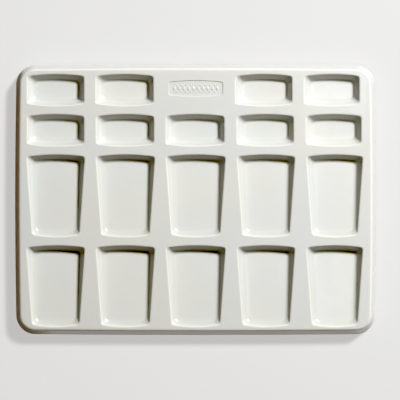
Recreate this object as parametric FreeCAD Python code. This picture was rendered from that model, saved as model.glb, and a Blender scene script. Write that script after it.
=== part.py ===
"""Ceramic mixing palette: one glazed casting with nineteen wells, on four anti-slip pads.

The frame is in millimetres, +Z up, with the origin on the table under the middle of the palette.
+X runs along the long side to the right and +Y runs to the back, where the small paint wells are.
"""
import FreeCAD, Part
import math
import os
from collections import namedtuple

# Overall size of the casting. The foot outline is 12 x 9 inches.
LENGTH = 304.8
WIDTH = 228.6
HEIGHT = 18.0

# Outline of the casting, all at the foot.
CORNER_RADIUS = 16.5
SHORT_SIDE_BOW = 1.3
LONG_SIDE_BOW = 0.9
SKIRT_FLARE = 4.4
SHOULDER_RADIUS = 2.4
FOOT_EDGE_RADIUS = 0.8

# The recess under the casting, which leaves a foot rim all round and a floor under the wells.
FOOT_RIM = 7.0
RECESS_DEPTH = 3.8
RECESS_CORNER_RADIUS = 10.0
RECESS_EDGE_FILLET = 2.0

# Shape of every well.
WELL_DRAFT_DEG = 25.0
WELL_ARCH = 1.8
WELL_BELLY = 1.9
WELL_SIDE_BOW = 0.25
WELL_RIM_CORNER = 2.0
WELL_FLOOR_CORNER = 4.2
RIM_RADIUS = 0.9

# Middle of each column of wells, and how much wider or narrower than the others its wells are.
COLUMN_X = (-116.9, -58.5, 0.4, 59.3, 116.8)
COLUMN_EXTRA = (-0.1, 0.6, 1.1, -0.2, -1.4)

# The four rows of wells, from the back. `y_mid` is the middle of the opening and `run` its length
# along Y, `width_back` and `width_front` its widths at the two ends, `depth_back` and `depth_front`
# the depths of its floor there, and `fillet` the round between floor and walls. A row's columns are
# drawn in by `squeeze` and moved by `shift`, and `columns` lists the ones that hold a well.
Row = namedtuple(
    "Row",
    "y_mid run width_back width_front depth_back depth_front fillet squeeze shift columns",
)
ROWS = (
    Row(92.05, 26.4, 46.9, 46.9, 9.0, 9.0, 2.8, 0.990, -1.3, (0, 1, 3, 4)),
    Row(58.4, 26.6, 46.9, 46.9, 9.0, 9.0, 2.8, 0.9966, -0.5, (0, 1, 2, 3, 4)),
    Row(3.5, 68.7, 48.7, 38.9, 9.6, 3.6, 4.0, 1.0, 0.0, (0, 1, 2, 3, 4)),
    Row(-72.2, 67.8, 48.7, 38.9, 9.6, 3.6, 4.0, 1.0, 0.0, (0, 1, 2, 3, 4)),
)

# The shallow panel in the gap of the back row.
PANEL_X = 0.3
PANEL_Y = 93.2
PANEL_LENGTH = 45.5
PANEL_WIDTH = 13.6
PANEL_ARCH = 1.3
PANEL_DEPTH = 0.6
PANEL_CORNER = 1.6
PANEL_RIM_RADIUS = 0.3
PANEL_FLOOR_FILLET = 0.25

# Anti-slip pads under the corners.
PAD_RADIUS = 6.0
PAD_THICKNESS = 1.8
PAD_PROUD = 1.0
PAD_EDGE_RADIUS = 0.4
PAD_X = 133.5
PAD_Y = 95.5
BOSS_RADIUS = 9.0
BOSS_EDGE_FILLET = 1.0

WELL_DRAFT = math.tan(math.radians(WELL_DRAFT_DEG))
OVERCUT = 1.0
TOLERANCE = 1e-6


def circle_meet(centre_a, radius_a, centre_b, radius_b, near):
    """Return the meeting point of two circles that lies nearest to `near`."""
    between = centre_b - centre_a
    gap = between.Length
    along = (radius_a ** 2 - radius_b ** 2 + gap ** 2) / (2.0 * gap)
    across = math.sqrt(radius_a ** 2 - along ** 2)
    unit = between / gap
    foot = centre_a + unit * along
    side = FreeCAD.Vector(-unit.y, unit.x, 0.0) * across
    return min((foot + side, foot - side), key=lambda point: (point - near).Length)


def side_circle(start, end, bow):
    """Return the centre, radius and crown of a side that bows outward by `bow`."""
    chord = end - start
    middle = (start + end) / 2.0
    outward = FreeCAD.Vector(chord.y, -chord.x, 0.0).normalize()
    radius = (chord.Length ** 2 / 4.0 + bow ** 2) / (2.0 * bow)
    return middle + outward * (bow - radius), radius, middle + outward * bow


def bowed_wire(corners, bows, corner_radius, z):
    """Return a closed wire of bowed sides joined by tangent corner arcs.

    `corners` runs counter-clockwise as (x, y) pairs and `bows` gives the side that follows each one.
    """
    points = [FreeCAD.Vector(x, y, 0.0) for x, y in corners]
    count = len(points)
    sides = [side_circle(points[i], points[(i + 1) % count], bows[i]) for i in range(count)]
    rounds = []
    for i, corner in enumerate(points):
        centre_a, radius_a, _ = sides[i - 1]
        centre_b, radius_b, _ = sides[i]
        middle = circle_meet(
            centre_a, radius_a - corner_radius, centre_b, radius_b - corner_radius, corner
        )
        enter = middle + (middle - centre_a).normalize() * corner_radius
        crown = middle + (corner - middle).normalize() * corner_radius
        leave = middle + (middle - centre_b).normalize() * corner_radius
        rounds.append((enter, crown, leave))
    edges = []
    lift = FreeCAD.Vector(0.0, 0.0, z)
    for i, (enter, crown, leave) in enumerate(rounds):
        next_enter = rounds[(i + 1) % count][0]
        edges.append(Part.Arc(enter + lift, crown + lift, leave + lift).toShape())
        edges.append(Part.Arc(leave + lift, sides[i][2] + lift, next_enter + lift).toShape())
    return Part.Wire(edges)


def casting_wire(inset, corner_radius, z):
    """Return the palette's outline, `inset` from the foot outline, at height `z`."""
    x = LENGTH / 2.0 - SHORT_SIDE_BOW - inset
    y = WIDTH / 2.0 - LONG_SIDE_BOW - inset
    corners = ((-x, -y), (x, -y), (x, y), (-x, y))
    bows = (LONG_SIDE_BOW, SHORT_SIDE_BOW, LONG_SIDE_BOW, SHORT_SIDE_BOW)
    return bowed_wire(corners, bows, corner_radius, z)


def well_wire(row, column, grow, corner_radius, z):
    """Return a well's outline, `grow` larger all round than its opening, at height `z`."""
    x_mid = COLUMN_X[column] * row.squeeze + row.shift
    back = (row.width_back + COLUMN_EXTRA[column]) / 2.0 + grow
    front = (row.width_front + COLUMN_EXTRA[column]) / 2.0 + grow
    y_back = row.y_mid + row.run / 2.0 - WELL_ARCH + grow
    y_front = row.y_mid - row.run / 2.0 + WELL_BELLY - grow
    corners = (
        (x_mid - front, y_front),
        (x_mid + front, y_front),
        (x_mid + back, y_back),
        (x_mid - back, y_back),
    )
    bows = (WELL_BELLY, WELL_SIDE_BOW, WELL_ARCH, WELL_SIDE_BOW)
    return bowed_wire(corners, bows, corner_radius, z)


def above_slope(row):
    """Return a large block above the sloping plane of a row's floors."""
    y_front = row.y_mid - row.run / 2.0
    slope = (row.depth_front - row.depth_back) / row.run
    low_corners = []
    for y in (y_front - row.run, y_front + 2.0 * row.run):
        z = HEIGHT - row.depth_front + slope * (y - y_front)
        low_corners.append(FreeCAD.Vector(-LENGTH, y, z))
    top = 2.0 * HEIGHT
    high_corners = [FreeCAD.Vector(-LENGTH, corner.y, top) for corner in reversed(low_corners)]
    corners = low_corners + high_corners
    section = Part.Face(Part.makePolygon(corners + corners[:1]))
    return section.extrude(FreeCAD.Vector(2.0 * LENGTH, 0.0, 0.0))


def floor_edges(plug):
    """Return the edges round a plug's floor, which is its lowest face."""
    floor = min(plug.Faces, key=lambda face: face.CenterOfMass.z)
    return floor.Edges


def well_hollow(row, column):
    """Return the space inside one well, with its floor rounded into its walls."""
    top = HEIGHT + OVERCUT
    deepest = max(row.depth_back, row.depth_front) + OVERCUT
    upper = well_wire(row, column, WELL_DRAFT * OVERCUT, WELL_RIM_CORNER, top)
    lower = well_wire(row, column, -WELL_DRAFT * deepest, WELL_FLOOR_CORNER, HEIGHT - deepest)
    plug = Part.makeLoft([lower, upper], True, True).common(above_slope(row))
    return plug.makeFillet(row.fillet, floor_edges(plug))


def outer_form():
    """Return the casting's outside as a solid, before anything is hollowed out of it."""
    foot = casting_wire(0.0, CORNER_RADIUS, PAD_PROUD)
    deck = casting_wire(SKIRT_FLARE, CORNER_RADIUS - SKIRT_FLARE, HEIGHT)
    form = Part.makeLoft([foot, deck], True, True)
    top = max(form.Faces, key=lambda face: face.CenterOfMass.z)
    form = form.makeFillet(SHOULDER_RADIUS, top.Edges)
    return form.makeFillet(FOOT_EDGE_RADIUS, floor_edges(form))


def pad_boss(x, y):
    """Return the round boss that carries one pad, grown out of the recess's ceiling."""
    boss = Part.makeCylinder(BOSS_RADIUS, RECESS_DEPTH + OVERCUT, FreeCAD.Vector(x, y, PAD_PROUD))
    return boss.makeFillet(BOSS_EDGE_FILLET, floor_edges(boss))


def under_recess():
    """Return the space under the casting, less the bosses of the pads."""
    wire = casting_wire(FOOT_RIM, RECESS_CORNER_RADIUS, PAD_PROUD - OVERCUT)
    recess = Part.Face(wire).extrude(FreeCAD.Vector(0.0, 0.0, RECESS_DEPTH + OVERCUT))
    ceiling = max(recess.Faces, key=lambda face: face.CenterOfMass.z)
    recess = recess.makeFillet(RECESS_EDGE_FILLET, ceiling.Edges)
    return recess.cut([pad_boss(x, y) for x, y in pad_places().values()])


def panel_wire(grow, z):
    """Return the panel's outline, `grow` larger all round than its opening, at height `z`."""
    x = PANEL_LENGTH / 2.0 - WELL_SIDE_BOW + grow
    y = PANEL_WIDTH / 2.0 - PANEL_ARCH + grow
    corners = (
        (PANEL_X - x, PANEL_Y - y),
        (PANEL_X + x, PANEL_Y - y),
        (PANEL_X + x, PANEL_Y + y),
        (PANEL_X - x, PANEL_Y + y),
    )
    bows = (PANEL_ARCH, WELL_SIDE_BOW, PANEL_ARCH, WELL_SIDE_BOW)
    return bowed_wire(corners, bows, PANEL_CORNER, z)


def panel_hollow():
    """Return the shallow space of the panel, arched along both of its long edges."""
    upper = panel_wire(WELL_DRAFT * OVERCUT, HEIGHT + OVERCUT)
    lower = panel_wire(-WELL_DRAFT * PANEL_DEPTH, HEIGHT - PANEL_DEPTH)
    hollow = Part.makeLoft([lower, upper], True, True)
    return hollow.makeFillet(PANEL_FLOOR_FILLET, floor_edges(hollow))


def pad_places():
    """Return the middle of each pad by its name."""
    places = {}
    for depth, y in (("front", -PAD_Y), ("back", PAD_Y)):
        for side, x in (("left", -PAD_X), ("right", PAD_X)):
            places[f"foot_pad_{depth}_{side}"] = (x, y)
    return places


def pad_disc(x, y):
    """Return one pad, with its lower edge rounded."""
    disc = Part.makeCylinder(PAD_RADIUS, PAD_THICKNESS, FreeCAD.Vector(x, y, 0.0))
    return disc.makeFillet(PAD_EDGE_RADIUS, floor_edges(disc))


def pad_socket(x, y):
    """Return the space that one pad fills in its boss."""
    depth = PAD_THICKNESS - PAD_PROUD
    return Part.makeCylinder(PAD_RADIUS, depth, FreeCAD.Vector(x, y, PAD_PROUD))


def rim_edges(casting):
    """Return the edges where hollows break through the deck."""
    level_faces = [face for face in casting.Faces if abs(face.BoundBox.ZMin - HEIGHT) < TOLERANCE]
    deck = max(level_faces, key=lambda face: face.Area)
    outer = {edge.hashCode() for edge in deck.OuterWire.Edges}
    return [edge for edge in deck.Edges if edge.hashCode() not in outer]


def is_near_panel(edge):
    """Return whether an edge belongs to the panel and not to a well."""
    middle = edge.CenterOfMass
    beside = abs(middle.x - PANEL_X) < PANEL_LENGTH / 2.0 + OVERCUT
    return beside and abs(middle.y - PANEL_Y) < PANEL_WIDTH / 2.0 + OVERCUT


def palette_body():
    """Return the whole casting."""
    casting = outer_form().cut(panel_hollow())
    casting = casting.makeFillet(PANEL_RIM_RADIUS, rim_edges(casting))
    casting = casting.cut([well_hollow(row, column) for row in ROWS for column in row.columns])
    well_rims = [edge for edge in rim_edges(casting) if not is_near_panel(edge)]
    casting = casting.makeFillet(RIM_RADIUS, well_rims)
    sockets = [pad_socket(x, y) for x, y in pad_places().values()]
    return casting.cut([under_recess()] + sockets)


def save(name, shape):
    """Write one piece as a single solid."""
    solid = shape.Solids[0]
    solid.exportStep(os.path.join("parts", name + ".step"))


def main():
    """Build and write every piece."""
    os.makedirs("parts", exist_ok=True)
    save("palette_body", palette_body())
    for name, (x, y) in pad_places().items():
        save(name, pad_disc(x, y))


main()
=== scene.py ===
"""Looks of a glazed ceramic mixing palette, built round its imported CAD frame.

The casting's outer skin is one fine grid, laid over the wells, that is drawn down over the flared
skirt and closed by the recessed underside of the CAD casting. Four anti-slip pads carry it.
"""
import logging
import math
from dataclasses import dataclass, field
from enum import Enum
from typing import Any, NamedTuple

import bmesh
import bpy
from mathutils import Matrix, Vector, noise


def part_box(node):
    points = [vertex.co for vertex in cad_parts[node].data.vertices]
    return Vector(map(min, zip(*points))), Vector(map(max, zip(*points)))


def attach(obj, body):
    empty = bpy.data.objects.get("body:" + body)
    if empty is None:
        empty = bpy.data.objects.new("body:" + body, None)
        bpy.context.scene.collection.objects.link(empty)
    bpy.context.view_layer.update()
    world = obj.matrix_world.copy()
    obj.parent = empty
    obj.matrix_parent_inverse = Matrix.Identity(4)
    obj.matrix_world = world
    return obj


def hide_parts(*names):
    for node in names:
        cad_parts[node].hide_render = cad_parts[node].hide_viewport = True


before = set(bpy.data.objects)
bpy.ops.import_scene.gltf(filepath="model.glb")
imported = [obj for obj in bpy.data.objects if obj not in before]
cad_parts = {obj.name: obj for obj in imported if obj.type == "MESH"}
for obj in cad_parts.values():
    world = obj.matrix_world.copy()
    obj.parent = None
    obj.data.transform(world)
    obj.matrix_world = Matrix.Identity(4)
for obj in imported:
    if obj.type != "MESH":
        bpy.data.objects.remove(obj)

LOG = logging.getLogger("palette")
MM = 0.001
CASTING = "palette_body"
SHARP_ANGLE = math.radians(40.0)
MIX_FIRST = 6
MIX_SECOND = 7
MIX_RESULT = 2
Material = bpy.types.Material
Colour = tuple[float, float, float]
Span = tuple[float, float]


# ---------- shader maths


class Socket:
    """An output socket that can be used in Python expressions."""

    def __init__(self, graph: "Graph", link: bpy.types.NodeSocket) -> None:
        """Wrap `link`, an output of one of the nodes of `graph`."""
        self.graph = graph
        self.link = link

    def _maths(self, operation: str, *values: "Socket | float", clamp: bool = False) -> "Socket":
        """Return a Math node's output, held between 0 and 1 if `clamp` says so."""
        settings = {"operation": operation, "use_clamp": clamp}
        return self.graph.add("ShaderNodeMath", settings, dict(enumerate(values)))

    def __add__(self, other: "Socket | float") -> "Socket":
        """Return self + other."""
        return self._maths("ADD", self, other)

    def __radd__(self, other: float) -> "Socket":
        """Return other + self."""
        return self._maths("ADD", other, self)

    def __sub__(self, other: "Socket | float") -> "Socket":
        """Return self - other."""
        return self._maths("SUBTRACT", self, other)

    def __rsub__(self, other: float) -> "Socket":
        """Return other - self."""
        return self._maths("SUBTRACT", other, self)

    def __mul__(self, other: "Socket | float") -> "Socket":
        """Return self * other."""
        return self._maths("MULTIPLY", self, other)

    def __rmul__(self, other: float) -> "Socket":
        """Return other * self."""
        return self._maths("MULTIPLY", other, self)

    def clipped(self) -> "Socket":
        """Return the value held between 0 and 1."""
        return self._maths("ADD", self, 0.0, clamp=True)

    def ramp(self, low: float, high: float) -> "Socket":
        """Return a smooth step from 0 at `low` to 1 at `high`.

        Args:
            low: the value that gives 0.
            high: the value that gives 1; below `low`, the step falls instead of rising.

        Returns:
            The stepped value.
        """
        settings = {"interpolation_type": "SMOOTHSTEP"}
        falls = high < low
        ends = (high, low) if falls else (low, high)
        step = self.graph.add("ShaderNodeMapRange", settings, {0: self, 1: ends[0], 2: ends[1]})
        return 1.0 - step if falls else step


class Clouds(NamedTuple):
    """Smooth noise: the width of its patches, its finer octaves and how strong those are."""

    size: float
    detail: float = 2.0
    roughness: float = 0.5


class Spots(NamedTuple):
    """Sparse round spots: the size of a cell, the largest radius and the share of cells with a spot.

    `full` is the part of that share whose spots are at full strength.
    """

    spacing: float
    radius: float
    share: float
    full: float = 0.4


class Graph:
    """One material's node tree."""

    def __init__(self, name: str) -> None:
        """Start a material with a Principled surface.

        Args:
            name: the material's name.
        """
        self.material = bpy.data.materials.new(name)
        self.material.use_nodes = True
        self.nodes = self.material.node_tree.nodes
        self.links = self.material.node_tree.links
        self.surface = self.nodes["Principled BSDF"]

    def join(self, socket: bpy.types.NodeSocket, value: Any) -> None:
        """Link or set an input socket.

        Args:
            socket: the input.
            value: a Socket to link, or the constant to set.
        """
        if isinstance(value, Socket):
            self.links.new(value.link, socket)
        else:
            socket.default_value = value

    def add(self, kind: str, settings: dict[str, Any], inputs: dict[Any, Any], out: Any = 0) -> Socket:
        """Add one node.

        Args:
            kind: the node's type.
            settings: its own properties, which are set first.
            inputs: values or links of its inputs, by name or number.
            out: the name or number of the output to return.

        Returns:
            The chosen output.
        """
        node = self.nodes.new(kind)
        for key, value in settings.items():
            setattr(node, key, value)
        for key, value in inputs.items():
            self.join(node.inputs[key], value)
        return Socket(self, node.outputs[out])

    def position(self) -> Socket:
        """Return the Object coordinates, in metres."""
        return self.add("ShaderNodeTexCoord", {}, {}, "Object")

    def height(self) -> Socket:
        """Return the height above the table, in metres."""
        return self.add("ShaderNodeSeparateXYZ", {}, {0: self.position()}, "Z")

    def attribute(self, name: str) -> Socket:
        """Return a number that the mesh stores on its points."""
        return self.add("ShaderNodeAttribute", {"attribute_name": name}, {}, "Fac")

    def clouds(self, plan: Clouds) -> Socket:
        """Return smooth noise.

        Args:
            plan: its size and its finer octaves.

        Returns:
            A value about 0.5.
        """
        inputs = {
            "Vector": self.position(), "Scale": 1.0 / plan.size,
            "Detail": plan.detail, "Roughness": plan.roughness,
        }
        return self.add("ShaderNodeTexNoise", {}, inputs)

    def spots(self, plan: Spots) -> Socket:
        """Return sparse round spots.

        Args:
            plan: their size and how many there are.

        Returns:
            1 in the middle of a spot and 0 outside it.
        """
        cell = {"Vector": self.position(), "Scale": 1.0 / plan.spacing}
        distance = self.add("ShaderNodeTexVoronoi", {}, cell, "Distance")
        pick = self.add("ShaderNodeTexVoronoi", {}, cell, "Color")
        chance = self.add("ShaderNodeSeparateColor", {}, {0: pick}, "Red")
        inside = distance.ramp(plan.radius / plan.spacing, 0.0)
        return inside * chance.ramp(plan.share, plan.share * plan.full)

    def blend(self, factor: "Socket | float", first: Any, second: Any) -> Socket:
        """Return a blend of two colours.

        Args:
            factor: the share of the second colour.
            first: a colour, as a triple or a Socket.
            second: a colour, as a triple or a Socket.

        Returns:
            The blended colour.
        """
        first = (*first, 1.0) if isinstance(first, tuple) else first
        second = (*second, 1.0) if isinstance(second, tuple) else second
        inputs = {0: factor, MIX_FIRST: first, MIX_SECOND: second}
        return self.add("ShaderNodeMix", {"data_type": "RGBA"}, inputs, MIX_RESULT)

    def bump(self, relief: Socket, depth: float, under: Socket | None = None) -> Socket:
        """Return a bumped normal.

        Args:
            relief: the height of the surface, from 0 to 1.
            depth: the height that 1 stands for, in metres.
            under: the normal that this relief is laid on.

        Returns:
            The new normal.
        """
        inputs = {"Height": relief, "Distance": depth, "Strength": 1.0}
        if under is not None:
            inputs["Normal"] = under
        return self.add("ShaderNodeBump", {}, inputs)

    def finish(self, **values: Any) -> Material:
        """Set the surface's sockets and return the material.

        Args:
            values: each socket's value or link, under its name with underscores for spaces.

        Returns:
            The material.
        """
        for name, value in values.items():
            self.join(self.surface.inputs[name.replace("_", " ")], value)
        return self.material


# ---------- finishes


@dataclass(frozen=True)
class Glaze:
    """A glossy off-white glaze that thins on edges and pools in corners, with painted shade: a dark brown
    laid on the left side of the skirt.
    """

    body: Colour = (0.610, 0.614, 0.592)
    cool: Colour = (0.600, 0.612, 0.608)
    pooled: Colour = (0.530, 0.555, 0.512)
    thin: Colour = (0.690, 0.685, 0.640)
    # painted shade: dark brown that stands in for the shade on the skirt's left side
    painted_shade_brown: Colour = (0.365, 0.270, 0.225)
    speck: Colour = (0.200, 0.150, 0.090)
    drift: Clouds = Clouds(60 * MM, 3.0)
    drift_span: Span = (0.35, 0.65)
    mottle: Clouds = Clouds(7 * MM, 4.0, 0.6)
    pool_gain: float = 0.8
    pool_mottle: float = 0.5
    thin_gain: float = 0.9
    thin_mottle: float = 0.6
    # the painted shade's strength wanders a little with the mottle
    painted_shade_span: Span = (0.2, 0.7)
    painted_shade_least: float = 0.85
    specks: Spots = Spots(4.5 * MM, 0.35 * MM, 0.10)
    speck_strength: float = 0.55
    pinholes: Spots = Spots(9.0 * MM, 0.30 * MM, 0.16)
    pinhole_depth: float = 0.08 * MM
    relief: tuple[tuple[Clouds, float], ...] = ((Clouds(11 * MM), 0.10 * MM), (Clouds(1.6 * MM), 0.006 * MM))
    roughness: float = 0.11
    uneven_roughness: float = 0.05
    uneven_span: Span = (0.3, 0.8)
    pinhole_roughness: float = 0.3
    # extra roughness where the painted shade lies
    roughness_under_painted_shade: float = 0.5
    refraction: float = 1.52

    def material(self) -> Material:
        """Build the glaze.

        Returns:
            The material.
        """
        graph = Graph("glaze_off_white")
        pool = graph.attribute("pool")
        mottle = graph.clouds(self.mottle)
        drift = graph.clouds(self.drift).ramp(*self.drift_span)
        colour = graph.blend(drift, self.body, self.cool)
        pooled = pool * self.pool_gain + (mottle - 0.5) * self.pool_mottle
        colour = graph.blend(pooled.clipped(), colour, self.pooled)
        thinned = (0.0 - pool) * self.thin_gain + (mottle - 0.5) * self.thin_mottle
        colour = graph.blend(thinned.clipped(), colour, self.thin)
        evenness = mottle.ramp(*self.painted_shade_span) * (1.0 - self.painted_shade_least) + self.painted_shade_least
        # painted shade: the skirt's left side is blended towards the dark brown
        painted_shade = graph.attribute("painted_shade") * evenness
        colour = graph.blend(painted_shade, colour, self.painted_shade_brown)
        colour = graph.blend(graph.spots(self.specks) * self.speck_strength, colour, self.speck)
        pinholes = graph.spots(self.pinholes)
        roughness = mottle.ramp(*self.uneven_span) * self.uneven_roughness + self.roughness
        roughness = roughness + pinholes * self.pinhole_roughness + painted_shade * self.roughness_under_painted_shade
        normal = None
        for plan, depth in self.relief:
            normal = graph.bump(graph.clouds(plan), depth, normal)
        normal = graph.bump(1.0 - pinholes, self.pinhole_depth, normal)
        return graph.finish(Base_Color=colour, Roughness=roughness, Normal=normal, IOR=self.refraction)


@dataclass(frozen=True)
class Bisque:
    """The bare fired body on the underside, with a thin wash of glaze above the foot rim."""

    body: Colour = (0.610, 0.560, 0.470)
    worn: Colour = (0.430, 0.390, 0.320)
    wash: Colour = (0.600, 0.600, 0.530)
    grit: Colour = (0.250, 0.200, 0.140)
    grain: Clouds = Clouds(1.1 * MM, 5.0, 0.7)
    grain_depth: float = 0.12 * MM
    grain_shade: float = 0.4
    patches: Clouds = Clouds(30 * MM, 3.0)
    middling: Span = (0.3, 0.7)
    wash_start: Span = (2.2 * MM, 3.2 * MM)
    wash_wander: float = 2.5 * MM
    contact: Span = (1.5 * MM, 1.0 * MM)
    contact_wear: float = 0.7
    specks: Spots = Spots(3.5 * MM, 0.4 * MM, 0.12)
    speck_strength: float = 0.6
    roughness: float = 0.82
    wash_smoothing: float = 0.48
    uneven_roughness: float = 0.12
    refraction: float = 1.5

    def material(self) -> Material:
        """Build the bare ceramic.

        Returns:
            The material.
        """
        graph = Graph("bisque_foot")
        grain = graph.clouds(self.grain)
        patches = graph.clouds(self.patches)
        glazed = (graph.height() + (patches - 0.5) * self.wash_wander).ramp(*self.wash_start)
        wear = graph.height().ramp(*self.contact) * patches.ramp(*self.middling) * self.contact_wear
        colour = graph.blend(grain.ramp(*self.middling) * self.grain_shade, self.body, self.worn)
        colour = graph.blend(wear, colour, self.worn)
        colour = graph.blend(glazed, colour, self.wash)
        colour = graph.blend(graph.spots(self.specks) * self.speck_strength, colour, self.grit)
        roughness = self.roughness - glazed * self.wash_smoothing + (grain - 0.5) * self.uneven_roughness
        normal = graph.bump(grain, self.grain_depth)
        return graph.finish(Base_Color=colour, Roughness=roughness, Normal=normal, IOR=self.refraction)


@dataclass(frozen=True)
class Silicone:
    """The milky grey silicone of the pads, with dust on the face that meets the table."""

    body: Colour = (0.500, 0.500, 0.480)
    dust: Colour = (0.300, 0.280, 0.250)
    scuffs: Clouds = Clouds(1.5 * MM, 4.0, 0.65)
    dusty_height: float = 0.6 * MM
    dust_span: Span = (0.4, 0.7)
    dust_strength: float = 0.8
    roughness: float = 0.42
    scuff_roughness: float = 0.2
    pores: Clouds = Clouds(0.4 * MM)
    pore_depth: float = 0.03 * MM
    refraction: float = 1.41

    def material(self) -> Material:
        """Build the silicone.

        Returns:
            The material.
        """
        graph = Graph("pad_silicone")
        scuffs = graph.clouds(self.scuffs)
        low = graph.height().ramp(self.dusty_height, 0.0)
        dusty = low * scuffs.ramp(*self.dust_span) * self.dust_strength
        colour = graph.blend(dusty, self.body, self.dust)
        roughness = scuffs * self.scuff_roughness + self.roughness
        normal = graph.bump(graph.clouds(self.pores), self.pore_depth)
        return graph.finish(Base_Color=colour, Roughness=roughness, Normal=normal, IOR=self.refraction)


@dataclass(frozen=True)
class StagePaper:
    """The plain pale paper that the palette lies on."""

    tone: Colour = (0.215, 0.215, 0.215)
    glow: Colour = (0.543, 0.543, 0.547)
    fibre: Clouds = Clouds(3 * MM)
    fibre_span: Span = (0.3, 0.7)
    fibre_shade: float = 0.985
    roughness: float = 0.95
    shine: float = 0.1

    def material(self) -> Material:
        """Build the paper.

        Returns:
            The material.
        """
        graph = Graph("stage_paper")
        shade = tuple(value * self.fibre_shade for value in self.tone)
        colour = graph.blend(graph.clouds(self.fibre).ramp(*self.fibre_span), self.tone, shade)
        return graph.finish(
            Base_Color=colour, Roughness=self.roughness, Specular_IOR_Level=self.shine,
            Emission_Color=(*self.glow, 1.0), Emission_Strength=1.0,
        )


# ---------- shapes of the casting


def new_piece(name: str, shell: bmesh.types.BMesh, materials: list[Material]) -> bpy.types.Object:
    """Turn a finished shell into an object of the scene.

    Args:
        name: the object's name.
        shell: its shape, which is freed.
        materials: its materials, by face index.

    Returns:
        The object, smooth apart from its sharp edges.
    """
    for face in shell.faces:
        face.smooth = True
    mesh = bpy.data.meshes.new(name)
    shell.to_mesh(mesh)
    shell.free()
    for material in materials:
        mesh.materials.append(material)
    mesh.set_sharp_from_angle(angle=SHARP_ANGLE)
    piece = bpy.data.objects.new(name, mesh)
    bpy.context.scene.collection.objects.link(piece)
    return piece


class Edge(Enum):
    """The four long edges of the deck, by the way they face."""

    FRONT = (0, -1)
    RIGHT = (1, 0)
    BACK = (0, 1)
    LEFT = (-1, 0)


class Station(NamedTuple):
    """One line along a well's wall: how far in and how far down, and what a deeper well adds."""

    inward: float
    inward_per_depth: float
    drop: float
    drop_per_depth: float
    pool: float


class Anchored(NamedTuple):
    """A point of the casting's outline, as a place inside it and the way out from there."""

    anchor: Vector
    outward: Vector


class Line(NamedTuple):
    """One line of the grid: a step inside a block of wells, or a share of the way out of it.

    `way` is 1 towards the next block and -1 towards the one before; 0 is inside the block.
    """

    block: int
    step: int
    way: int = 0
    share: float = 0.0

    def inner(self) -> "Line":
        """Return the line on the block's own edge."""
        return Line(self.block, self.step)


@dataclass(frozen=True)
class WallSection:
    """The cross-section of a well's wall, over its rim and down into its floor."""

    rim_radius: float
    floor_radius: float
    draft: float = math.radians(25.0)
    support: float = 0.22 * MM
    rim_steps: int = 5
    wall_steps: int = 3
    floor_steps: int = 6

    def stations(self) -> list[Station]:
        """Lay out the wall.

        Returns:
            Its lines, from the deck inwards.
        """
        turn = math.pi / 2.0 - self.draft
        slope = math.tan(self.draft)
        rim_reach = self.rim_radius * math.tan(turn / 2.0)
        floor_reach = self.floor_radius * math.tan(turn / 2.0)
        lines = [Station(-rim_reach - self.support, 0.0, 0.0, 0.0, 0.0)]
        for step in range(self.rim_steps + 1):
            angle = turn * step / self.rim_steps
            inward = self.rim_radius * math.sin(angle) - rim_reach
            drop = self.rim_radius * (1.0 - math.cos(angle))
            lines.append(Station(inward, 0.0, drop, 0.0, -math.sin(math.pi * step / self.rim_steps)))
        rounds = []
        for step in range(self.floor_steps + 1):
            angle = turn * (1.0 - step / self.floor_steps)
            inward = floor_reach - self.floor_radius * math.sin(angle)
            drop = self.floor_radius * (math.cos(angle) - 1.0)
            rounds.append(Station(inward, slope, drop, 1.0, math.sin(math.pi * step / self.floor_steps)))
        for step in range(1, self.wall_steps):
            share = step / self.wall_steps
            pairs = zip(lines[self.rim_steps + 1], rounds[0])
            lines.append(Station(*(a + (b - a) * share for a, b in pairs)))
        return lines + rounds


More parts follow.
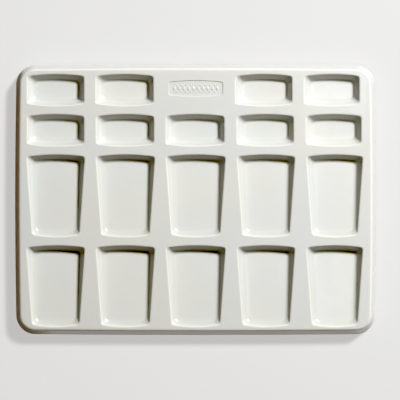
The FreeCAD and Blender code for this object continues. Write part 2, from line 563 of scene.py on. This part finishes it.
@dataclass(frozen=True)
class Hollow:
    """One well or panel sunk into the deck, with the steps of the grid that cross it."""

    x_mid: float
    y_mid: float
    run: float
    width_back: float
    width_front: float
    depth_back: float
    depth_front: float
    section: WallSection
    steps_x: int
    steps_y: int
    top: float
    arch: float = 1.8 * MM
    belly: float = 1.9 * MM
    rim_corner: float = 2.0 * MM
    floor_corner: float = 4.2 * MM
    lines: list[Station] = field(default_factory=list)

    def level(self, step: int, steps: int) -> int:
        """Return how many lines a step lies in from the nearer side; floors share the deepest level."""
        return min(step, steps - step, len(self.lines))

    def depth(self, y: float) -> float:
        """Return the depth of the sloping floor plane at `y`."""
        return self.sloped(self.depth_front, self.depth_back, y)

    def sloped(self, front: float, back: float, y: float) -> float:
        """Return what a measure that changes evenly from `front` to `back` comes to at `y`."""
        return front + (back - front) * ((y - self.y_mid) / self.run + 0.5)

    def inward(self, level: int, depth: float) -> float:
        """Return how far in from the opening a line lies."""
        line = self.lines[min(level, len(self.lines) - 1)]
        return line.inward + line.inward_per_depth * depth

    def corner_radius(self, level: int, depth: float) -> float:
        """Return the corner radius of a line's ring.

        Args:
            level: how many lines the ring lies in from the side.
            depth: the depth of the floor plane there.

        Returns:
            The radius, in metres.
        """
        inward = self.inward(level, depth)
        foot = depth * math.tan(self.section.draft)
        if inward < 0.0:
            return self.rim_corner - inward
        if inward < foot:
            return self.rim_corner + (self.floor_corner - self.rim_corner) * inward / foot
        return max(self.floor_corner - (inward - foot), self.rim_corner / 2.0)

    def end_depth(self, back: bool) -> float:
        """Return the depth where the floor plane meets the back or front wall."""
        lean = (self.depth_back - self.depth_front) / self.run * math.tan(self.section.draft)
        return self.depth_back / (1.0 + lean) if back else self.depth_front / (1.0 - lean)

    def along(self, step: int) -> float:
        """Return where a cross line lies, before the ends are arched.

        Args:
            step: the cross line, counted from the front.

        Returns:
            Its Y.
        """
        level = self.level(step, self.steps_y)
        back = self.y_mid + self.run / 2.0 - self.arch
        front = self.y_mid - self.run / 2.0 + self.belly
        if level < len(self.lines):
            if step * 2 > self.steps_y:
                return back - self.inward(level, self.end_depth(True))
            return front + self.inward(level, self.end_depth(False))
        deepest = len(self.lines) - 1
        low = self.along(deepest)
        share = (step - deepest) / (self.steps_y - 2 * deepest)
        return low + (self.along(self.steps_y - deepest) - low) * share

    def across(self, step: int, y: float) -> float:
        """Return where a lengthwise line lies.

        Args:
            step: the lengthwise line, counted from the left.
            y: the Y at which it is wanted.

        Returns:
            Its distance from the middle of the well.
        """
        level = self.level(step, self.steps_x)
        half = self.sloped(self.width_front, self.width_back, y) / 2.0
        half -= self.inward(level, self.depth(y))
        if level < len(self.lines):
            return half if step * 2 > self.steps_x else -half
        deepest = len(self.lines) - 1
        return half * (2.0 * (step - deepest) / (self.steps_x - 2 * deepest) - 1.0)

    def rounding(self, step_x: int, step_y: int, y: float) -> Vector:
        """Return how far a point moves from its ring's sharp corner region onto its round corner.

        Args:
            step_x: the lengthwise line.
            step_y: the cross line.
            y: the cross line's Y.

        Returns:
            The move, in the plane of the deck.
        """
        level_x = self.level(step_x, self.steps_x)
        level_y = self.level(step_y, self.steps_y)
        ring = min(level_x, level_y)
        if ring == len(self.lines):
            return Vector()
        radius = self.corner_radius(ring, self.depth(y))
        right = 1 if step_x * 2 > self.steps_x else -1
        back = 1 if step_y * 2 > self.steps_y else -1
        if level_y <= level_x:
            corner = self.across(self.steps_x - ring if right > 0 else ring, y)
            gap = abs(corner - self.across(step_x, y))
        else:
            gap = abs(self.along(self.steps_y - ring if back > 0 else ring) - y)
        if gap >= radius:
            return Vector()
        angle = math.pi / 4.0 * (1.0 + gap / radius)
        beside = radius * (1.0 - math.cos(angle)) - gap
        inside = radius * (1.0 - math.sin(angle))
        move = (beside, inside) if level_y <= level_x else (inside, beside)
        return Vector((-right * move[0], -back * move[1], 0.0))

    def bulge(self, step_y: int, x: float, y: float) -> float:
        """Return how far the arched ends carry a point along Y.

        Args:
            step_y: the cross line.
            x: the point's distance from the middle of the well.
            y: the cross line's Y.

        Returns:
            The move along Y.
        """
        half = self.sloped(self.width_front, self.width_back, y) / 2.0
        crown = max(1.0 - (x / half) ** 2, 0.0)
        level = self.level(step_y, self.steps_y)
        deepest = len(self.lines) - 1
        weight = 1.0 if step_y * 2 > self.steps_y else 0.0
        if level > deepest:
            weight = (step_y - deepest) / (self.steps_y - 2 * deepest)
        return crown * (self.arch * weight - self.belly * (1.0 - weight))

    def point(self, step_x: int, step_y: int) -> tuple[Vector, float]:
        """Return one grid point of the well.

        Args:
            step_x: the lengthwise line, counted from the left.
            step_y: the cross line, counted from the front.

        Returns:
            The point, and how much glaze pools there.
        """
        y = self.along(step_y)
        x = self.across(step_x, y)
        move = self.rounding(step_x, step_y, y)
        ring = min(self.level(step_x, self.steps_x), self.level(step_y, self.steps_y))
        depth = self.depth(y)
        line = self.lines[min(ring, len(self.lines) - 1)]
        drop = line.drop + line.drop_per_depth * depth
        place = Vector((self.x_mid + x, y + self.bulge(step_y, x, y), self.top - drop))
        return place + move, 0.0 if ring == len(self.lines) else line.pool


@dataclass(frozen=True)
class Outline:
    """The bowed, round-cornered outline of the casting, at its foot."""

    half_length: float
    half_width: float
    corner: float = 16.5 * MM
    short_bow: float = 1.3 * MM
    long_bow: float = 0.9 * MM

    def depth_inside(self, place: Vector) -> float:
        """Return how deep a place lies inside the outline, leaving out the bow of the sides.

        Args:
            place: the place, whose height doesn't matter.

        Returns:
            The distance to the outline, below 0 outside it.
        """
        across = abs(place.x) - self.half_length + self.corner
        along = abs(place.y) - self.half_width + self.corner
        return self.corner - math.hypot(max(across, 0.0), max(along, 0.0)) - min(max(across, along), 0.0)

    def anchored(self, edge: Edge, along: float, inset: float) -> Anchored:
        """Return a point of the outline.

        Args:
            edge: the edge that it lies on.
            along: its distance from the middle of that edge, as if the corners were square.
            inset: how far inside the foot outline `along` is measured.

        Returns:
            The point as an anchor and a direction.
        """
        lengthwise = edge.value[0] == 0
        half = (self.half_length if lengthwise else self.half_width) - inset
        other = (self.half_width if lengthwise else self.half_length) - self.corner
        radius = self.corner - inset
        gap = max(half - abs(along), 0.0)
        side = math.copysign(1.0, along)
        if gap < radius:
            angle = math.pi / 4.0 * (1.0 + gap / radius)
            place = (side * (half - radius), other)
            way = (side * math.cos(angle), math.sin(angle))
        else:
            place = (along, other)
            way = (0.0, 1.0)
        sign = edge.value[1] if lengthwise else edge.value[0]
        pairs = [(first, sign * second) for first, second in (place, way)]
        flat = pairs if lengthwise else [(second, first) for first, second in pairs]
        return Anchored(Vector((*flat[0], 0.0)), Vector((*flat[1], 0.0)))

    def point(self, anchored: Anchored, inset: float, z: float) -> Vector:
        """Return where an anchored point lies on one ring of the casting.

        Args:
            anchored: the point.
            inset: the ring's distance inside the foot outline.
            z: the ring's height.

        Returns:
            The place, with the bow of the sides.
        """
        flat = anchored.anchor + anchored.outward * (self.corner - inset)
        x_share = flat.x / self.half_length
        y_share = flat.y / self.half_width
        x = flat.x - self.short_bow * y_share ** 2 * x_share
        y = flat.y - self.long_bow * x_share ** 2 * y_share
        return Vector((x, y, z))


@dataclass(frozen=True)
class WellRow:
    """One row of wells across the deck."""

    y_mid: float
    run: float
    width_back: float
    width_front: float
    depth_back: float
    depth_front: float
    floor_radius: float
    floor_steps: int
    squeeze: float = 1.0
    shift: float = 0.0


LONG_WELL = (48.7 * MM, 38.9 * MM, 9.6 * MM, 3.6 * MM, 4.0 * MM, 22)
SMALL_WELL = (47.4 * MM, 47.4 * MM, 9.0 * MM, 9.0 * MM, 2.8 * MM, 6)


@dataclass(frozen=True)
class WellField:
    """The layout of the wells: four rows by five columns, one place of which holds the panel."""

    rows: tuple[WellRow, ...] = (
        WellRow(-72.2 * MM, 67.8 * MM, *LONG_WELL),
        WellRow(3.5 * MM, 68.7 * MM, *LONG_WELL),
        WellRow(58.4 * MM, 26.6 * MM, *SMALL_WELL, squeeze=0.9966, shift=-0.5 * MM),
        WellRow(92.05 * MM, 26.4 * MM, *SMALL_WELL, squeeze=0.990, shift=-1.3 * MM),
    )
    column_x: tuple[float, ...] = (-116.9 * MM, -58.5 * MM, 0.4 * MM, 59.3 * MM, 116.8 * MM)
    column_extra: tuple[float, ...] = (-0.1 * MM, 0.6 * MM, 1.1 * MM, -0.2 * MM, -1.4 * MM)
    rim_radius: float = 1.6 * MM
    across_steps: int = 14
    panel_row: int = 3
    panel_column: int = 2
    panel_mid: Span = (0.3 * MM, 93.2 * MM)
    panel_size: Span = (45.5 * MM, 13.6 * MM)
    panel_depth: float = 0.6 * MM
    panel_section: WallSection = WallSection(0.3 * MM, 0.25 * MM)
    panel_arch: float = 1.3 * MM
    panel_rim_corner: float = 1.6 * MM
    panel_floor_corner: float = 1.4 * MM

    def hollow(self, row: int, column: int, top: float) -> Hollow:
        """Return the well, or the panel, at one place.

        Args:
            row: the row, counted from the front.
            column: the column, counted from the left.
            top: the height of the deck.

        Returns:
            The hollow.
        """
        plan = self.rows[row]
        section = WallSection(self.rim_radius, plan.floor_radius)
        steps = 2 * (len(section.stations()) - 1)
        crossing = {"steps_x": steps + self.across_steps, "steps_y": steps + plan.floor_steps, "top": top}
        if (row, column) == (self.panel_row, self.panel_column):
            length, width = self.panel_size
            return Hollow(
                *self.panel_mid, width, length, length, self.panel_depth, self.panel_depth,
                self.panel_section, **crossing, arch=self.panel_arch, belly=self.panel_arch,
                rim_corner=self.panel_rim_corner, floor_corner=self.panel_floor_corner,
                lines=self.panel_section.stations(),
            )
        extra = self.column_extra[column]
        return Hollow(
            self.column_x[column] * plan.squeeze + plan.shift, plan.y_mid, plan.run,
            plan.width_back + extra, plan.width_front + extra, plan.depth_back, plan.depth_front,
            section, **crossing, lines=section.stations(),
        )


class DeckGrid:
    """The grid that covers the deck, wells and all, out to the start of the rounded shoulder."""

    GAP_STEPS = 3
    SIDE_STEPS = 3
    END_STEPS = 2

    def __init__(self, wells: WellField, outline: Outline, inset: float, top: float) -> None:
        """Lay out the grid's lines.

        Args:
            wells: the layout of the wells.
            outline: the casting's outline.
            inset: how far inside the outline the grid ends.
            top: the height of the deck.
        """
        self.outline = outline
        self.inset = inset
        self.top = top
        columns = range(len(wells.column_x))
        self.hollows = [[wells.hollow(row, col, top) for col in columns] for row in range(len(wells.rows))]
        self.x_lines = self.lines([hollow.steps_x for hollow in self.hollows[0]], self.SIDE_STEPS)
        self.y_lines = self.lines([row[0].steps_y for row in self.hollows], self.END_STEPS)

    def lines(self, steps: list[int], margin_steps: int) -> list[Line]:
        """Return the lines in one direction.

        Args:
            steps: the number of steps over each block.
            margin_steps: the number of steps outside the first and last block.

        Returns:
            The lines in order.
        """
        found = [Line(0, 0, -1, 1.0 - step / margin_steps) for step in range(margin_steps)]
        for block, count in enumerate(steps):
            found += [Line(block, step) for step in range(count + 1)]
            outer = block == len(steps) - 1
            parts = margin_steps if outer else self.GAP_STEPS
            shares = range(1, parts + 1 if outer else parts)
            found += [Line(block, count, 1, step / parts) for step in shares]
        return found

    def is_margin(self, line: Line, blocks: int) -> bool:
        """Return whether a line lies outside the outermost wells."""
        return line.way == -1 or (line.way == 1 and line.block == blocks - 1)

    def rim(self, across: Line, along: Line) -> Anchored:
        """Return the outline point that a margin line reaches.

        Args:
            across: the lengthwise line.
            along: the cross line.

        Returns:
            The outline point.
        """
        x_out = self.is_margin(across, len(self.hollows[0]))
        y_out = self.is_margin(along, len(self.hollows))
        inner = self.place(across.inner() if x_out else across, along.inner() if y_out else along)[0]
        half_x = self.outline.half_length - self.inset
        half_y = self.outline.half_width - self.inset
        if y_out and (not x_out or along.share >= across.share):
            edge = Edge.BACK if along.way > 0 else Edge.FRONT
            reach = inner.x + (across.way * half_x - inner.x) * across.share if x_out else inner.x
            return self.outline.anchored(edge, reach, self.inset)
        edge = Edge.RIGHT if across.way > 0 else Edge.LEFT
        reach = inner.y + (along.way * half_y - inner.y) * along.share if y_out else inner.y
        return self.outline.anchored(edge, reach, self.inset)

    def corner(self, across: Line, along: Line) -> Vector:
        """Return a point of the patch outside a corner well.

        Args:
            across: the lengthwise line.
            along: the cross line.

        Returns:
            The point, blended from the patch's four sides.
        """
        s, t = across.share, along.share
        x_in, y_in = across.inner(), along.inner()
        x_end, y_end = across._replace(share=1.0), along._replace(share=1.0)
        inner = self.place(x_in, y_in)[0]
        beside = self.ring_point(x_end, y_in)
        behind = self.ring_point(x_in, y_end)
        far = self.ring_point(x_end, y_end)
        right = self.ring_point(x_end, along)
        back = self.ring_point(across, y_end)
        flat = inner.lerp(beside, s) * (1.0 - t) + behind.lerp(far, s) * t
        ruled_x = inner.lerp(behind, t) * (1.0 - s) + right * s
        ruled_y = inner.lerp(beside, s) * (1.0 - t) + back * t
        return ruled_x + ruled_y - flat

    def ring_point(self, across: Line, along: Line) -> Vector:
        """Return the outline point of two lines as a place."""
        return self.outline.point(self.rim(across, along), self.inset, self.top)

    def place(self, across: Line, along: Line) -> tuple[Vector, float]:
        """Return the place of one grid point.

        Args:
            across: the lengthwise line.
            along: the cross line.

        Returns:
            The place, and how much glaze pools there.
        """
        if across.way == 0 and along.way == 0:
            return self.hollows[along.block][across.block].point(across.step, along.step)
        x_out = self.is_margin(across, len(self.hollows[0]))
        y_out = self.is_margin(along, len(self.hollows))
        if x_out and y_out:
            return self.corner(across, along), 0.0
        if x_out or y_out:
            inner = self.place(across.inner() if x_out else across, along.inner() if y_out else along)[0]
            x_end = across._replace(share=1.0) if x_out else across
            y_end = along._replace(share=1.0) if y_out else along
            return inner.lerp(self.ring_point(x_end, y_end), across.share if x_out else along.share), 0.0
        if across.way:
            after = Line(across.block + 1, 0)
            return self.place(across.inner(), along)[0].lerp(self.place(after, along)[0], across.share), 0.0
        after = Line(along.block + 1, 0)
        return self.place(across, along.inner())[0].lerp(self.place(across, after)[0], along.share), 0.0


@dataclass
class Casting:
    """The ceramic casting: its glazed skin, closed by the bare underside."""

    wells: WellField = field(default_factory=WellField)
    flare: float = 4.4 * MM
    foot_lift: float = 1.0 * MM
    foot_trim: float = 0.24 * MM
    shoulder: float = 2.4 * MM
    shoulder_steps: int = 7
    skirt_steps: int = 7
    glaze_line: float = 1.6 * MM
    cut_height: float = 2.2 * MM
    under_top: float = 5.0 * MM
    rim_depth: float = 4.0 * MM
    merge_distance: float = 0.002 * MM
    cut_tolerance: float = 0.001 * MM
    edge_thinning: float = 0.8
    # where the painted shade lies: the lowest skirt rings, on the left side
    painted_shade_rings: int = 2
    painted_shade_front: Span = (116 * MM, 140 * MM)
    painted_shade_back: Span = (144.5 * MM, 147.5 * MM)
    ripple: float = 0.07 * MM
    ripple_sizes: tuple[Span, ...] = ((34 * MM, 1.0), (13 * MM, 0.45), (5 * MM, 0.12))

    def outline(self) -> Outline:
        """Return the foot outline, from the CAD casting's box."""
        low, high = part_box(CASTING)
        return Outline(*((high[axis] - low[axis]) / 2.0 + self.foot_trim for axis in (0, 1)))

    def skirt(self, top: float) -> list[Span]:
        """Return the shoulder and skirt as rings.

        Args:
            top: the height of the deck.

        Returns:
            Each ring's inset from the foot outline and its height, from the deck down.
        """
        lean = math.atan2(self.flare, top - self.foot_lift)
        turn = math.pi / 2.0 - lean
        reach = self.shoulder * math.tan(turn / 2.0)
        rings = []
        for step in range(self.shoulder_steps + 1):
            angle = turn * step / self.shoulder_steps
            inset = self.flare + reach - self.shoulder * math.sin(angle)
            rings.append((inset, top - self.shoulder * (1.0 - math.cos(angle))))
        start = rings[-1]
        end_z = self.foot_lift + self.glaze_line
        end = ((end_z - self.foot_lift) * math.tan(lean), end_z)
        for step in range(1, self.skirt_steps + 1):
            share = step / self.skirt_steps
            rings.append(tuple(a + (b - a) * share for a, b in zip(start, end)))
        return rings

    def skin(self) -> bmesh.types.BMesh:
        """Build the glazed skin: deck, wells, shoulder and skirt.

        Returns:
            The skin, open at the foot.
        """
        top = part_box(CASTING)[1][2]
        outline = self.outline()
        rings = self.skirt(top)
        deck = DeckGrid(self.wells, outline, rings[0][0], top)
        shell = bmesh.new()
        anchor = shell.verts.layers.float_vector.new("anchor")
        outward = shell.verts.layers.float_vector.new("outward")
        pool = shell.verts.layers.float.new("pool")
        # mask of the painted shade on the skirt
        painted_shade = shell.verts.layers.float.new("painted_shade")
        segments = (len(deck.x_lines) - 1, len(deck.y_lines) - 1)
        bmesh.ops.create_grid(shell, x_segments=segments[0], y_segments=segments[1], size=1.0)
        for vert in shell.verts:
            i = round((vert.co.x + 1.0) / 2.0 * segments[0])
            j = round((vert.co.y + 1.0) / 2.0 * segments[1])
            across, along = deck.x_lines[i], deck.y_lines[j]
            if vert.is_boundary:
                vert[anchor], vert[outward] = deck.rim(across, along)
            vert.co, vert[pool] = deck.place(across, along)
        border = [edge for edge in shell.edges if edge.is_boundary]
        for index, (inset, z) in enumerate(rings[1:], 1):
            made = bmesh.ops.extrude_edge_only(shell, edges=border)["geom"]
            for vert in (item for item in made if isinstance(item, bmesh.types.BMVert)):
                vert.co = outline.point(Anchored(vert[anchor], vert[outward]), inset, z)
                turned = math.pi * min(index / self.shoulder_steps, 1.0)
                vert[pool] = -math.sin(turned) * self.edge_thinning
                # painted shade: a mask that darkens the left side of the skirt
                vert[painted_shade] = self.painted_shading(vert.co, index)
            border = [item for item in made if isinstance(item, bmesh.types.BMEdge) and item.is_boundary]
        return shell

    def painted_shading(self, place: Vector, ring: int) -> float:
        """Return how strongly painted shade darkens the glaze at a place on the skirt.

        Args:
            place: the place.
            ring: its ring, counted from the deck.

        Returns:
            1 on the left side, fading out along the front.
        """
        past = (ring - self.shoulder_steps + self.painted_shade_rings) / self.painted_shade_rings
        down = min(max(past, 0.0), 1.0)
        start, full = self.painted_shade_front if place.y < 0.0 else self.painted_shade_back
        return down * min(max((-place.x - start) / (full - start), 0.0), 1.0)

    def is_outer(self, outline: Outline, place: Vector) -> bool:
        """Return whether a place on the CAD casting lies outside its bare underside."""
        beside = outline.depth_inside(place) < self.rim_depth
        return place.z > self.under_top or (beside and place.z > self.cut_height)

    def underside(self) -> bmesh.types.BMesh:
        """Cut the recessed underside from a merged copy of the CAD casting.

        Returns:
            The underside, open where the skirt begins.
        """
        shell = bmesh.new()
        shell.from_mesh(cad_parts[CASTING].data)
        bmesh.ops.remove_doubles(shell, verts=shell.verts, dist=self.merge_distance)
        outline = self.outline()
        geometry = [*shell.verts, *shell.edges, *shell.faces]
        bmesh.ops.bisect_plane(
            shell, geom=geometry, dist=self.cut_tolerance,
            plane_co=(0.0, 0.0, self.cut_height), plane_no=(0.0, 0.0, 1.0),
        )
        outer = [face for face in shell.faces if self.is_outer(outline, face.calc_center_median())]
        bmesh.ops.delete(shell, geom=outer, context="FACES")
        loose = [vert for vert in shell.verts if not vert.link_faces]
        bmesh.ops.delete(shell, geom=loose, context="VERTS")
        return shell

    def ripples(self, place: Vector) -> float:
        """Return how far the hand-finished surface lies along the true one's normal: 0 or less."""
        height = sum(noise.noise(place / size) * weight for size, weight in self.ripple_sizes)
        return self.ripple * (height / sum(weight for _, weight in self.ripple_sizes) - 1.0)

    def build(self, materials: list[Material]) -> bpy.types.Object:
        """Build the casting.

        Args:
            materials: the glaze and the bare body.

        Returns:
            The casting, closed and dressed.
        """
        shell = self.skin()
        shell.normal_update()
        for vert in shell.verts:
            if not vert.is_boundary:
                vert.co += vert.normal * self.ripples(vert.co)
        skin_faces = len(shell.faces)
        bare = self.underside()
        carrier = bpy.data.meshes.new("underside")
        bare.to_mesh(carrier)
        bare.free()
        shell.from_mesh(carrier)
        bpy.data.meshes.remove(carrier)
        shell.faces.ensure_lookup_table()
        for face in shell.faces[skin_faces:]:
            face.material_index = 1
        border = [edge for edge in shell.edges if edge.is_boundary]
        strip = bmesh.ops.bridge_loops(shell, edges=border)["faces"]
        for face in strip:
            face.material_index = 0
        bmesh.ops.recalc_face_normals(shell, faces=shell.faces)
        return new_piece("glazed_casting", shell, materials)


@dataclass
class PanelRelief:
    """The raised ornament in the shallow panel: a row of lozenges with beads between them."""

    lozenges: int = 10
    pitch: float = 4.0 * MM
    reach: float = 1.8 * MM
    stretch: float = 1.6
    rise: float = 0.20 * MM
    sunk: float = 0.25 * MM
    taper: float = 0.6
    edge_round: float = 0.12 * MM
    bead: float = 0.75 * MM
    bead_row: float = 2.7 * MM
    bead_segments: tuple[int, int] = (14, 8)

    def lozenge(self, shell: bmesh.types.BMesh, middle: Vector) -> None:
        """Add one lozenge with its edges rounded.

        Args:
            shell: the mesh to add to.
            middle: the middle of its foot, on the panel's floor.
        """
        depth = self.rise + self.sunk
        place = Matrix.Translation(middle + Vector((0.0, 0.0, depth / 2.0 - self.sunk)))
        made = bmesh.ops.create_cone(
            shell, cap_ends=True, segments=4, radius1=self.reach, radius2=self.reach * self.taper,
            depth=depth, matrix=place @ Matrix.Diagonal((1.0, self.stretch, 1.0, 1.0)),
        )
        faces = {face for vert in made["verts"] for face in vert.link_faces}
        edges = list({edge for face in faces for edge in face.edges})
        bmesh.ops.bevel(
            shell, geom=edges, offset=self.edge_round, affect="EDGES", segments=2, profile=0.5, material=-1,
        )

    def build(self, wells: WellField, material: Material) -> bpy.types.Object:
        """Build the ornament.

        Args:
            wells: the layout that says where the panel is.
            material: the glaze.

        Returns:
            The ornament as one piece.
        """
        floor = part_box(CASTING)[1][2] - wells.panel_depth
        shell = bmesh.new()
        for index in range(self.lozenges):
            x = wells.panel_mid[0] + (index - (self.lozenges - 1) / 2.0) * self.pitch
            self.lozenge(shell, Vector((x, wells.panel_mid[1], floor)))
            if index == self.lozenges - 1:
                break
            for side in (-1.0, 1.0):
                middle = Vector((x + self.pitch / 2.0, wells.panel_mid[1] + side * self.bead_row, floor))
                flat = Matrix.Translation(middle) @ Matrix.Diagonal((1.0, 1.0, self.rise / self.bead, 1.0))
                around, up = self.bead_segments
                bmesh.ops.create_uvsphere(
                    shell, u_segments=around, v_segments=up, radius=self.bead, matrix=flat,
                )
        return new_piece("panel_relief", shell, [material])


@dataclass
class FootPads:
    """The anti-slip pads, which are the CAD discs in a silicone finish."""

    prefix: str = "foot_pad"

    def dress(self, material: Material) -> list[str]:
        """Give every pad its material.

        Args:
            material: the silicone.

        Returns:
            The names of the pads.
        """
        names = [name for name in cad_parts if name.startswith(self.prefix)]
        for name in names:
            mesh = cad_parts[name].data
            mesh.materials.clear()
            mesh.materials.append(material)
        return names


# ---------- stage


@dataclass(frozen=True)
class Lamp:
    """One soft light that faces the palette, with its place and size in metres."""

    name: str
    place: tuple[float, float, float]
    size: Span
    watts: float
    tint: Colour

    def hang(self) -> None:
        """Hang the light."""
        light = bpy.data.lights.new(self.name, "AREA")
        light.shape = "RECTANGLE"
        light.size, light.size_y = self.size
        light.energy = self.watts
        light.color = self.tint
        holder = bpy.data.objects.new(self.name, light)
        spot = Vector(self.place)
        holder.matrix_world = Matrix.Translation(spot) @ spot.to_track_quat("Z", "Y").to_matrix().to_4x4()
        bpy.context.scene.collection.objects.link(holder)


@dataclass
class Studio:
    """The paper, the lights and the camera."""

    camera_height: float = 2.2
    view_width: float = 0.3377
    aim: Span = (0.0038, -0.0002)
    sensor: float = 36.0
    sight: float = 10.0
    paper_size: float = 3.0
    exposure: float = 0.0
    black_level: Colour = (0.072, 0.080, 0.097)
    room_colour: Colour = (0.10, 0.085, 0.06)
    room_strength: float = 0.6
    lamps: tuple[Lamp, ...] = (
        Lamp("key", (0.95, 0.96, 1.44), (0.30, 0.30), 60.0, (1.0, 0.995, 0.985)),
        Lamp("top", (0.25, 0.40, 1.00), (0.50, 0.50), 0.5, (0.97, 0.98, 1.0)),
        Lamp("glint", (0.25, 0.20, 2.15), (0.11, 0.07), 0.13, (1.0, 1.0, 1.0)),
    )

    def paper(self, material: Material) -> None:
        """Lay the paper on the table plane.

        Args:
            material: the paper's material.
        """
        mesh = bpy.data.meshes.new("paper")
        sheet = bmesh.new()
        bmesh.ops.create_grid(sheet, x_segments=1, y_segments=1, size=self.paper_size)
        sheet.to_mesh(mesh)
        sheet.free()
        mesh.materials.append(material)
        paper = bpy.data.objects.new("paper", mesh)
        bpy.context.scene.collection.objects.link(paper)

    def lights(self) -> None:
        """Hang the lights and set the dim room."""
        for lamp in self.lamps:
            lamp.hang()
        world = bpy.data.worlds.new("room")
        bpy.context.scene.world = world
        world.use_nodes = True
        background = world.node_tree.nodes["Background"]
        background.inputs["Color"].default_value = (*self.room_colour, 1.0)
        background.inputs["Strength"].default_value = self.room_strength

    def camera(self) -> None:
        """Set the camera straight above the palette."""
        lens = bpy.data.cameras.new("overhead")
        lens.sensor_width = self.sensor
        lens.lens = self.sensor * self.camera_height / self.view_width
        lens.clip_end = self.sight
        holder = bpy.data.objects.new("overhead", lens)
        holder.location = (*self.aim, self.camera_height)
        bpy.context.scene.collection.objects.link(holder)
        bpy.context.scene.camera = holder

    def grade(self) -> None:
        """Set how light becomes picture tones."""
        view = bpy.context.scene.view_settings
        view.view_transform = "Standard"
        view.look = "None"
        view.exposure = self.exposure
        view.use_curve_mapping = True
        view.curve_mapping.black_level = self.black_level


def main() -> None:
    """Build the palette, light it and report each piece."""
    logging.basicConfig(level=logging.INFO, format="%(name)s: %(message)s")
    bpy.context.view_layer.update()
    glaze = Glaze().material()
    wells = WellField()
    casting = Casting(wells).build([glaze, Bisque().material()])
    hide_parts(CASTING)
    relief = PanelRelief().build(wells, glaze)
    for piece in (casting, relief):
        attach(piece, "root")
        LOG.info("%s: %d faces", piece.name, len(piece.data.polygons))
    for name in FootPads().dress(Silicone().material()):
        LOG.info("%s: dressed", name)
    studio = Studio()
    studio.paper(StagePaper().material())
    studio.lights()
    studio.camera()
    studio.grade()


if __name__ == "__main__":
    main()
